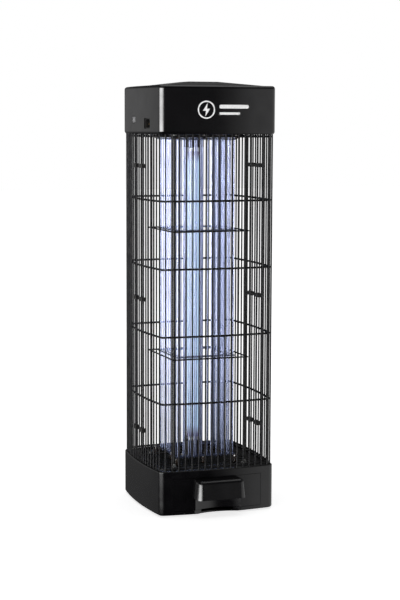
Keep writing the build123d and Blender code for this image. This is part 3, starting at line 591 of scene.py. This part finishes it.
def make_insulators(node, upside_down):
    """Glazed posts in the place of a node's plain ones."""
    bm = bmesh.new()
    for centre, low, high in islands(node):
        profile = insulator_profile(low.z, high.z - low.z, (high.x - low.x) / 2)
        if upside_down:
            profile = mirrored(profile, centre.z)
        add_lathe(bm, profile, (centre.x, centre.y), INSULATOR_SEGMENTS)
    name = "glazed_" + node
    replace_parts(add_piece(name, finished(bm, name), "porcelain", "tower"), node)


# Welds and threads ---------------------------------------------------------------------------

SIDES = {"front": (0, -1, 0), "right": (1, 0, 0), "back": (0, 1, 0), "left": (-1, 0, 0)}
UPRIGHT_LENGTH = 500 * MM
GUARD_BEAD = (0.9 * MM, 1.95 * MM, 1.5 * MM)
GUARD_BEAD_INSET = 1.7 * MM
GRID_BEAD = (0.7 * MM, 1.5 * MM, 1.2 * MM)
GRID_BEAD_OFFSET = 1.15 * MM

THREAD_PITCH = 0.8 * MM
THREAD_DEPTH = 0.3 * MM
THREAD_SINK = 0.01 * MM
THREAD_SEGMENTS = 20
THREAD_END = 0.2 * MM
THREAD_BELOW_DECK = 4 * MM
THREAD_ABOVE_DECK = 6 * MM
ROD_RADIUS = 2.5 * MM


def growth(step):
    """How large one bead is beside the usual one: the same every run, but it looks random."""
    scatter = math.sin(step * 12.9898) * 43758.5453 % 1.0
    return 0.9 + 0.25 * scatter


def add_bead(bm, place, size, grow, outward):
    """A low weld bead: a squashed ball a little longer across its wire."""
    thick, wide, tall = size
    turn = outward.to_track_quat("X", "Z").to_matrix().to_4x4()
    squash = Matrix.Diagonal((thick, wide * grow, tall * grow, 1.0))
    matrix = Matrix.Translation(place) @ turn @ squash
    bmesh.ops.create_icosphere(bm, subdivisions=2, radius=1.0, matrix=matrix)


def wires_and_bars(node):
    """The centres of a guard panel's upright wires, and the heights of its bars."""
    wires, levels = [], []
    for centre, low, high in islands(node):
        if high.z - low.z > UPRIGHT_LENGTH:
            wires.append(centre)
        else:
            levels.append(centre.z)
    return wires, levels


def make_guard_welds():
    """A resistance-weld bead where each upright crosses each bar."""
    bm = bmesh.new()
    count = 0
    for side, outward in SIDES.items():
        direction = Vector(outward)
        wires, levels = wires_and_bars("guard_" + side)
        for wire in wires:
            for level in levels:
                count += 1
                place = Vector((wire.x, wire.y, level)) - direction * GUARD_BEAD_INSET
                add_bead(bm, place, GUARD_BEAD, growth(count), direction)
    add_piece("guard_welds", finished(bm, "guard_welds"), "guard_wire", "tower")


def make_grid_welds(rods, hoops, name, offset):
    """A small bead where each rod of a grid meets each of its hoops, offset outwards from the rod."""
    levels = sorted({round(centre.z, 5) for centre, low, high in islands(hoops)})
    hoop_low, hoop_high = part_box(hoops)
    middle = (hoop_low + hoop_high) / 2
    bm = bmesh.new()
    for count, (centre, low, high) in enumerate(islands(rods)):
        away = centre - middle
        if abs(away.x) > abs(away.y):
            direction = Vector((math.copysign(1, away.x), 0, 0))
        else:
            direction = Vector((0, math.copysign(1, away.y), 0))
        for level in levels:
            place = Vector((centre.x, centre.y, level)) + direction * offset
            add_bead(bm, place, GRID_BEAD, growth(count + level), direction)
    add_piece(name, finished(bm, name), "grid_steel", "tower")


def make_threads():
    """The thread that shows above and below the nuts of each tie rod, as close rings."""
    nuts_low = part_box("tie_rod_nuts")[0].z
    spans = ((TIE_LOW.z + THREAD_END, nuts_low + THREAD_BELOW_DECK),
             (BASE_TOP - THREAD_END, BASE_TOP + THREAD_ABOVE_DECK))
    bm = bmesh.new()
    for centre, low, high in islands("tie_rods"):
        for start, end in spans:
            turns = int((end - start) / THREAD_PITCH)
            profile = []
            for turn in range(turns):
                level = start + turn * THREAD_PITCH
                profile += [(ROD_RADIUS - THREAD_SINK, level)]
                profile += [(ROD_RADIUS + THREAD_DEPTH, level + THREAD_PITCH / 2)]
            add_lathe(bm, profile, (centre.x, centre.y), THREAD_SEGMENTS)
    add_piece("tie_rod_threads", finished(bm, "tie_rod_threads"), "zinc_steel", "tower", smooth=False)


# The switch's marks --------------------------------------------------------------------------

ROCKER_TILT = math.radians(6)
MARK_LIFT = 0.12 * MM
RING_INNER, RING_OUTER = 1.15 * MM, 1.5 * MM
LINE_WIDE, LINE_NARROW = 0.3 * MM, 0.22 * MM
LINE_THICKNESS = 0.16 * MM
LINE_STRETCH = 5

# How far in from the rocker's outermost point each mark stands
RING_DEPTH, LINE_DEPTH = 0.9 * MM, 1.4 * MM


def add_ring(bm, place, inner, outer, steps=28):
    """A flat ring that stands on a face that looks towards -X."""
    angles = [2 * math.pi * step / steps for step in range(steps)]
    loops = []
    for radius, lift in ((inner, 0.0), (inner, -MARK_LIFT), (outer, -MARK_LIFT), (outer, 0.0)):
        points = [Vector((lift, radius * math.cos(a), radius * math.sin(a))) for a in angles]
        loops.append([bm.verts.new(place @ point) for point in points])
    for first, second in zip(loops, loops[1:] + loops[:1]):
        for step in range(steps):
            after = (step + 1) % steps
            bm.faces.new((first[step], first[after], second[after], second[step]))


def make_rocker_marks():
    """The usual line for on and ring for off, raised a hair on the rocker's two halves."""
    low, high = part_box("switch_rocker")
    middle_y, middle_z = (low.y + high.y) / 2, (low.z + high.z) / 2
    quarter = (high.y - low.y) / 4
    turn = Matrix.Rotation(ROCKER_TILT, 4, "Z")
    ring = Matrix.Translation((low.x + RING_DEPTH, middle_y + quarter, middle_z)) @ turn
    line = Matrix.Translation((low.x + LINE_DEPTH, middle_y - quarter, middle_z)) @ turn
    across = Matrix.Rotation(math.radians(90), 4, "Y")
    stretch = Matrix.Diagonal((1, 1, LINE_STRETCH, 1))
    bm = bmesh.new()
    add_ring(bm, ring, RING_INNER, RING_OUTER)
    bmesh.ops.create_cone(bm, cap_ends=True, segments=8, radius1=LINE_WIDE, radius2=LINE_NARROW,
                          depth=LINE_THICKNESS, matrix=line @ stretch @ across)
    add_piece("rocker_marks", finished(bm, "rocker_marks"), "mark_white", "rocker")


make_lamp_tube()
make_lamp_caps()
make_insulators("lower_insulators", upside_down=False)
make_insulators("upper_insulators", upside_down=True)
make_guard_welds()
make_grid_welds("live_rods", "live_hoops", "live_grid_welds", GRID_BEAD_OFFSET)
make_grid_welds("return_rods", "return_hoops", "return_grid_welds", -GRID_BEAD_OFFSET)
make_threads()
make_rocker_marks()


# Stage, world and lights ---------------------------------------------------------------------

FLOOR_HALF = 14.0
FLOOR_GREY = 0.88
FLOOR_GREY_SPREAD = 0.02
FLOOR_GLOW_NEAR = 0.76
FLOOR_GLOW_FAR = 1.0
FLOOR_GLOW_START, FLOOR_GLOW_END = 0.5, 2.5

# How bright each part of the room is
ROOM_FRONT = 0.10
ROOM_RIGHT = 0.95
ROOM_BACK = 0.52
ROOM_STRIP = 20.0

# Where each part starts and ends, by the x, y or z of the direction in which it lies
RIGHT_X = (0.28, 0.62)
BACK_X = (-0.6, 0.0)
BACK_Y = (-0.1, 0.7)
BACK_Z = (-0.25, 0.0)
FRONT_Z = (-0.2, 0.0)
HIGH_Z = (0.02, 0.3)
STRIP_X = (-0.2, -0.9)
STRIP_Y = (0.5, -0.2)
STRIP_LOW_Z = (-0.24, -0.01)
STRIP_HIGH_Z = (0.18, 0.04)

OVERHEAD_PLACE = (0.0, 0.2, 3.0)
OVERHEAD_AIM = (0, 0, 0.45)
OVERHEAD_SIZE = 3.0
OVERHEAD_POWER = 34


def make_floor():
    """A pale floor that passes for the background.
    It glows, more so far out, and glossy surfaces don't mirror it."""
    half = FLOOR_HALF
    corners = [(-half, -half, 0), (half, -half, 0), (half, half, 0), (-half, half, 0)]
    mesh = bpy.data.meshes.new("floor")
    mesh.from_pydata(corners, [], [(0, 1, 2, 3)])
    floor = bpy.data.objects.new("floor", mesh)
    bpy.context.scene.collection.objects.link(floor)
    s = Surface("pale_floor")
    tone = s.spread(s.noise(1.2), NOISE_LOW, NOISE_HIGH)
    s.link(s.mix(tone, (FLOOR_GREY,) * 3, (FLOOR_GREY + FLOOR_GREY_SPREAD,) * 3), "Base Color")
    s.set(Roughness=0.9, Specular_IOR_Level=0.1, Emission_Color=(1, 1, 1, 1))
    distance = s.tree.nodes.new("ShaderNodeVectorMath")
    distance.operation = "LENGTH"
    s.join(s.coordinates, distance, "Vector")
    glow = s.spread(distance.outputs["Value"], FLOOR_GLOW_START, FLOOR_GLOW_END,
                    FLOOR_GLOW_NEAR, FLOOR_GLOW_FAR)
    s.link(glow, "Emission Strength")
    mesh.materials.append(s.material)
    floor.visible_glossy = False


def world_math(tree, operation, first, second):
    node = tree.nodes.new("ShaderNodeMath")
    node.operation = operation
    tree.links.new(first, node.inputs[0])
    tree.links.new(second, node.inputs[1])
    return node.outputs["Value"]


def world_ramp(tree, value, span, at_start, at_end):
    """A soft step from one level to another as a value runs from the start of a span to its end."""
    node = tree.nodes.new("ShaderNodeMapRange")
    node.interpolation_type = "SMOOTHSTEP"
    ends = {"From Min": span[0], "From Max": span[1], "To Min": at_start, "To Max": at_end}
    for name, number in ends.items():
        node.inputs[name].default_value = number
    tree.links.new(value, node.inputs["Value"])
    return node.outputs["Result"]


def make_world():
    """White behind the object. As light, a room that is dark in front, pale to the right and grey
    behind, with a low bright strip round the left front that shows in the near corner."""
    world = bpy.data.worlds.new("studio")
    bpy.context.scene.world = world
    world.use_nodes = True
    tree = world.node_tree
    background = tree.nodes["Background"]
    coordinates = tree.nodes.new("ShaderNodeTexCoord")
    split = tree.nodes.new("ShaderNodeSeparateXYZ")
    tree.links.new(coordinates.outputs["Generated"], split.inputs["Vector"])
    x, y, z = (split.outputs[axis] for axis in "XYZ")

    def product(*factors):
        result = factors[0]
        for factor in factors[1:]:
            result = world_math(tree, "MULTIPLY", result, factor)
        return result

    right = world_ramp(tree, x, RIGHT_X, 0.0, ROOM_RIGHT)
    back = product(
        world_ramp(tree, y, BACK_Y, 0.0, ROOM_BACK),
        world_ramp(tree, x, BACK_X, 1.0, 0.4),
        world_ramp(tree, z, BACK_Z, 0.3, 1.0),
    )
    front = world_ramp(tree, z, FRONT_Z, 0.1 * ROOM_FRONT, ROOM_FRONT)
    strip = product(
        world_ramp(tree, x, STRIP_X, 0.0, ROOM_STRIP),
        world_ramp(tree, y, STRIP_Y, 0.0, 1.0),
        world_ramp(tree, z, STRIP_LOW_Z, 0.0, 1.0),
        world_ramp(tree, z, STRIP_HIGH_Z, 0.0, 1.0),
    )
    room = world_math(tree, "MAXIMUM", world_math(tree, "MAXIMUM", right, back), front)
    room = product(room, world_ramp(tree, z, HIGH_Z, 1.0, 0.2))
    room = world_math(tree, "MAXIMUM", room, strip)
    seen = tree.nodes.new("ShaderNodeLightPath")
    strength = world_math(tree, "MAXIMUM", room, seen.outputs["Is Camera Ray"])
    tree.links.new(strength, background.inputs["Strength"])
    background.inputs["Color"].default_value = (1.0, 1.0, 1.0, 1.0)


def make_overhead_light():
    """One wide, soft light above the object."""
    data = bpy.data.lights.new("overhead", "AREA")
    data.shape = "RECTANGLE"
    data.size = data.size_y = OVERHEAD_SIZE
    data.energy = OVERHEAD_POWER
    light = bpy.data.objects.new("overhead", data)
    bpy.context.scene.collection.objects.link(light)
    light.location = OVERHEAD_PLACE
    aim = Vector(OVERHEAD_AIM) - Vector(OVERHEAD_PLACE)
    light.rotation_euler = aim.to_track_quat("-Z", "Y").to_euler()
    light.visible_camera = False


make_floor()
make_world()
make_overhead_light()
bpy.context.scene.view_settings.view_transform = "Standard"
